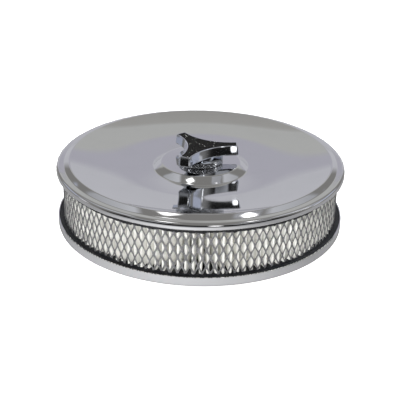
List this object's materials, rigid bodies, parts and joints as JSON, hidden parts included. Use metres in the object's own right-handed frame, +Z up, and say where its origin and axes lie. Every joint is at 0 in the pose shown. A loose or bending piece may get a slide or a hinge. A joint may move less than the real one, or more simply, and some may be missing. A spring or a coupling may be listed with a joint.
{
  "type": "air filter housing",
  "caption": "Round chrome air cleaner: pan and dished lid round a pleated paper element in expanded metal, held down by a three-armed knob on a centre stud.",
  "frame": {"origin": "centre of the pan's underside, on the axis of the housing and its stud", "axes": "+Z up along the stud, from the carburettor neck to the knob; +X along the stud bridge; -Y is the front"},
  "size_m": [0.232, 0.232, 0.0633],
  "materials": {
    "chrome_sheet": "bright chrome plate on pressed steel",
    "chrome_cast": "bright chrome plate on a casting",
    "inlay_black": "fine textured black",
    "insert_brass": "turned",
    "zinc_steel": "zinc plated",
    "screen_steel": "dull galvanised expanded metal",
    "filter_paper": "matt pleated paper",
    "seal_rubber": "moulded, slightly shiny",
    "gasket_foam": "closed cell foam",
    "grommet_rubber": "moulded",
    "fibre": "pressed fibre"
  },
  "bodies": {
    "base": {"base_pan": "chrome_sheet", "neck_gasket": "gasket_foam", "stud_bridge": "zinc_steel", "bridge_rivets": "zinc_steel", "hold_down_stud": "zinc_steel", "stud_lower_nut": "zinc_steel", "stud_lock_washer": "zinc_steel", "stud_upper_nut": "zinc_steel"},
    "element": {"lower_seal_ring": "seal_rubber", "upper_seal_ring": "seal_rubber", "outer_screen": "screen_steel", "inner_screen": "screen_steel", "filter_media": "filter_paper"},
    "lid": {"lid_shell": "chrome_sheet", "lid_grommet": "grommet_rubber"},
    "knob_carrier": {"knob_seal_washer": "fibre", "knob_washer": "zinc_steel"},
    "knob": {"knob_body": "chrome_cast", "knob_collar": "chrome_cast", "knob_insert": "insert_brass", "knob_inlay": "inlay_black"}
  },
  "joints": [
    {"name": "element_lift", "type": "slide", "parent": "base", "child": "element", "axis": [0, 0, 1], "range_m": [0, 0.08]},
    {"name": "lid_lift", "type": "slide", "parent": "element", "child": "lid", "axis": [0, 0, 1], "range_m": [0, 0.07]},
    {"name": "knob_rise", "type": "slide", "parent": "lid", "child": "knob_carrier", "axis": [0, 0, 1], "range_m": [0, 0.00826]},
    {"name": "knob_turn", "type": "hinge", "parent": "knob_carrier", "child": "knob", "pos_m": [0, 0, 0.056], "axis": [0, 0, 1], "range_deg": [0, 2345]}
  ],
  "couplings": [
    {"joint": "knob_turn", "follows": "knob_rise", "rad_per_m": 4947.4}
  ]
}
